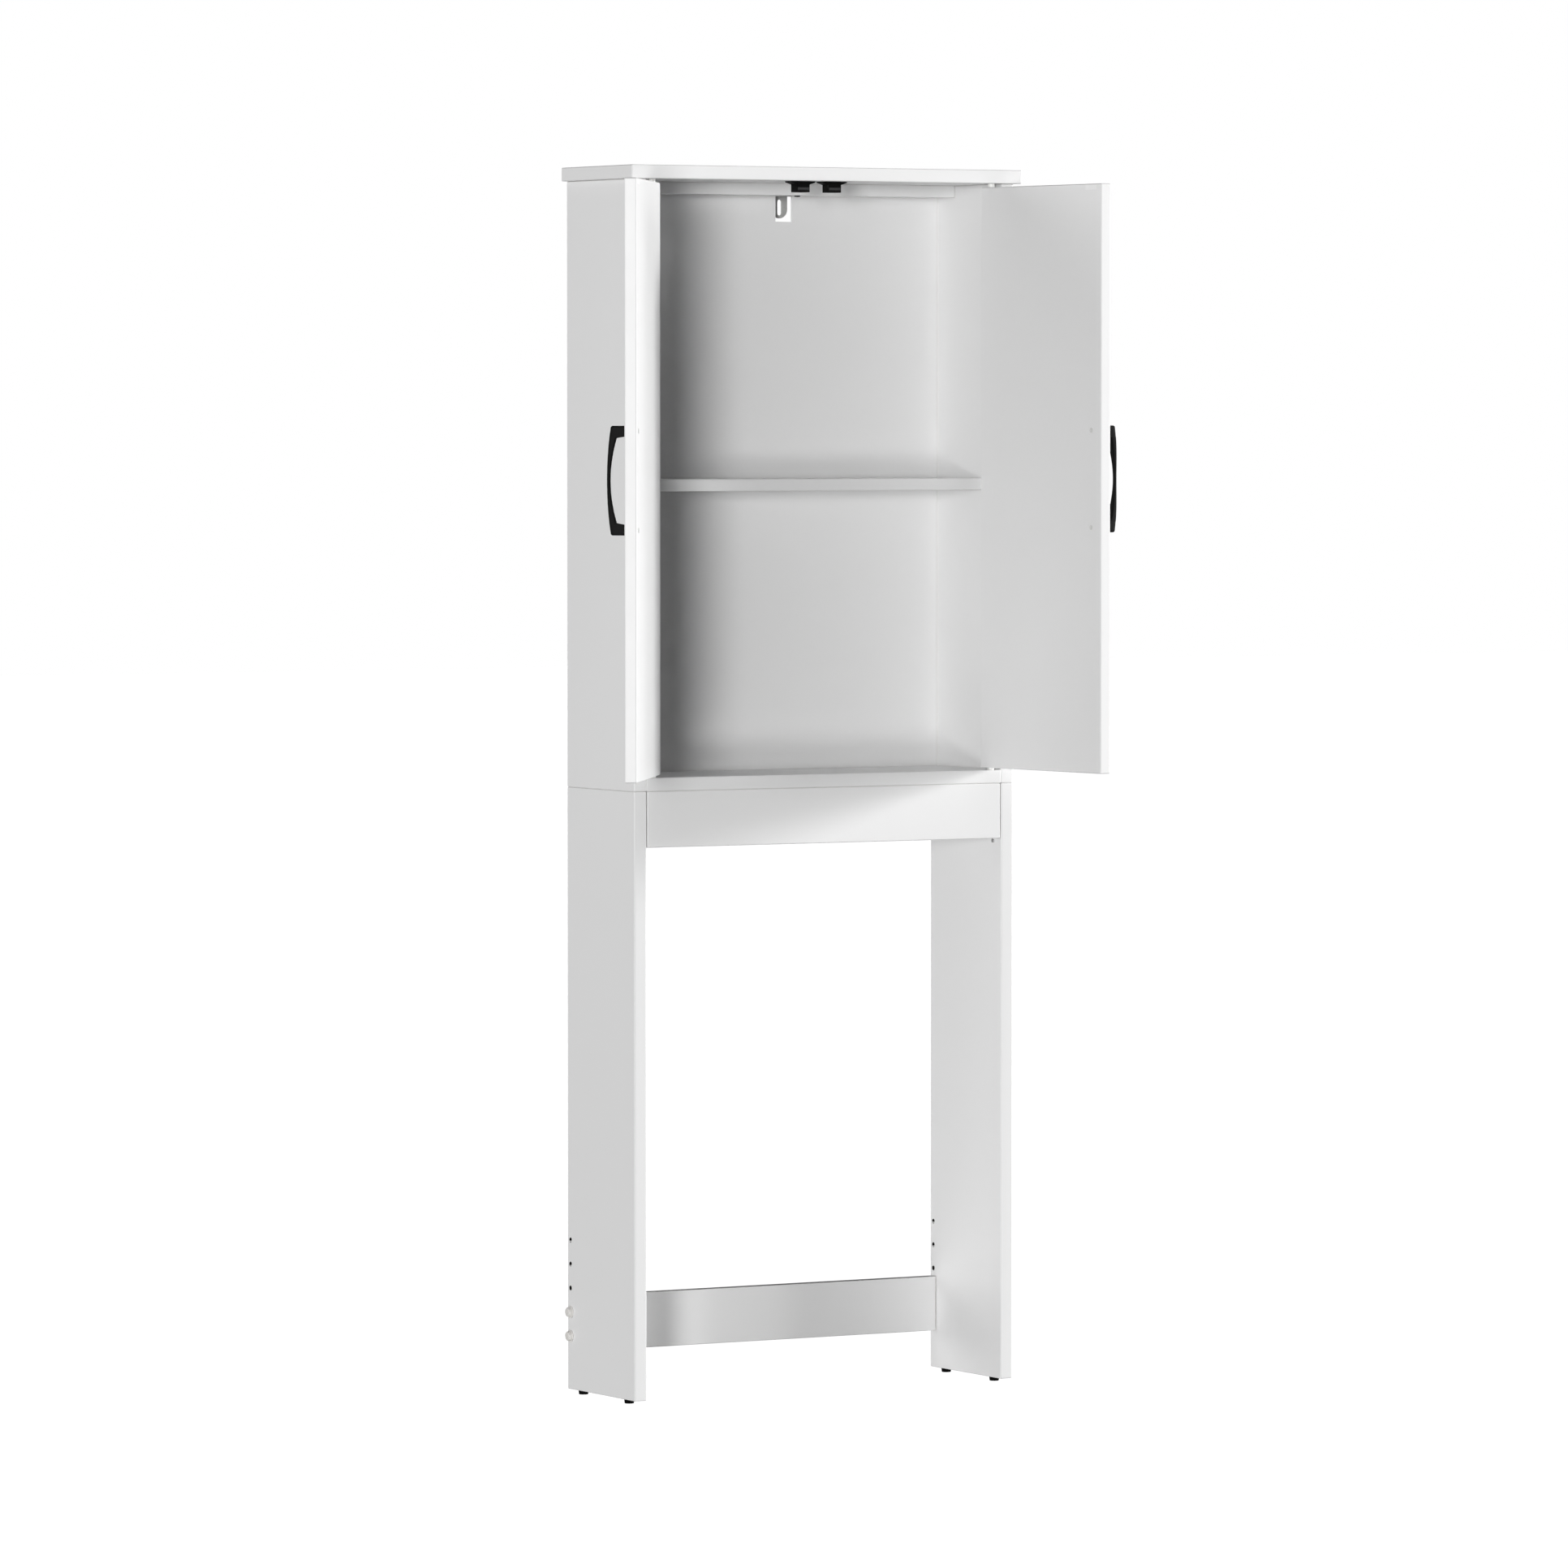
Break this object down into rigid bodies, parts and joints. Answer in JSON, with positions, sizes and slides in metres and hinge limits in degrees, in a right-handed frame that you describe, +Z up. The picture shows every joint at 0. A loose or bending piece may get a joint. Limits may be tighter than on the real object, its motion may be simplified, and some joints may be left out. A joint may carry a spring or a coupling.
{
  "type": "over the toilet storage rack",
  "caption": "Tall white bathroom cabinet on two panel legs that stands over a toilet, with two hinged doors, a shelf, a rear rail and a wall bracket.",
  "frame": {"origin": "on the floor, at the middle of the footprint of the two legs", "axes": "+Z up, +Y towards the wall, +X to the right when the doors are faced"},
  "size_m": [0.7381, 0.4362, 1.629],
  "materials": {
    "white_board": "satin white lacquer",
    "back_sheet": "plain white facing",
    "black_metal": "satin black",
    "zinc_steel": "zinc plated",
    "black_steel": "black finish",
    "white_steel": "satin white",
    "white_plastic": "gloss",
    "clear_white_plastic": "cloudy white",
    "black_plastic": "matt black",
    "magnet": "sintered",
    "beech": "plain",
    "cast_zinc": "die cast"
  },
  "bodies": {
    "cabinet": {"top_panel": "white_board", "left_side_panel": "white_board", "right_side_panel": "white_board", "cabinet_floor": "white_board", "middle_shelf": "white_board", "top_rear_rail": "white_board", "front_apron": "white_board", "left_leg_panel": "white_board", "right_leg_panel": "white_board", "lower_rear_rail": "white_board", "back_panel": "back_sheet", "pivot_bushes": "white_plastic", "catch_bodies": "black_plastic", "catch_pole_plates": "black_steel", "catch_magnets": "magnet", "catch_screws": "black_steel", "wall_bracket": "zinc_steel", "bracket_screw": "black_steel", "rail_bolts": "zinc_steel", "barrel_nuts": "zinc_steel", "bolt_caps": "clear_white_plastic", "feet": "black_plastic", "leg_pins": "zinc_steel", "dowels": "beech", "cam_bolts": "zinc_steel", "cam_locks": "cast_zinc"},
    "left_door": {"left_door": "white_board", "left_handle": "black_metal", "left_handle_screws": "zinc_steel", "left_strike_plate": "white_steel", "left_door_pins": "zinc_steel"},
    "right_door": {"right_door": "white_board", "right_handle": "black_metal", "right_handle_screws": "zinc_steel", "right_strike_plate": "white_steel", "right_door_pins": "zinc_steel"}
  },
  "joints": [
    {"name": "left_door_hinge", "type": "hinge", "parent": "cabinet", "child": "left_door", "pos_m": [-0.2595, -0.086, 1.2175], "axis": [0, 0, 1], "range_deg": [-1, 125.5]},
    {"name": "right_door_hinge", "type": "hinge", "parent": "cabinet", "child": "right_door", "pos_m": [0.2595, -0.086, 1.2175], "axis": [0, 0, 1], "range_deg": [-95, 31.5]}
  ]
}
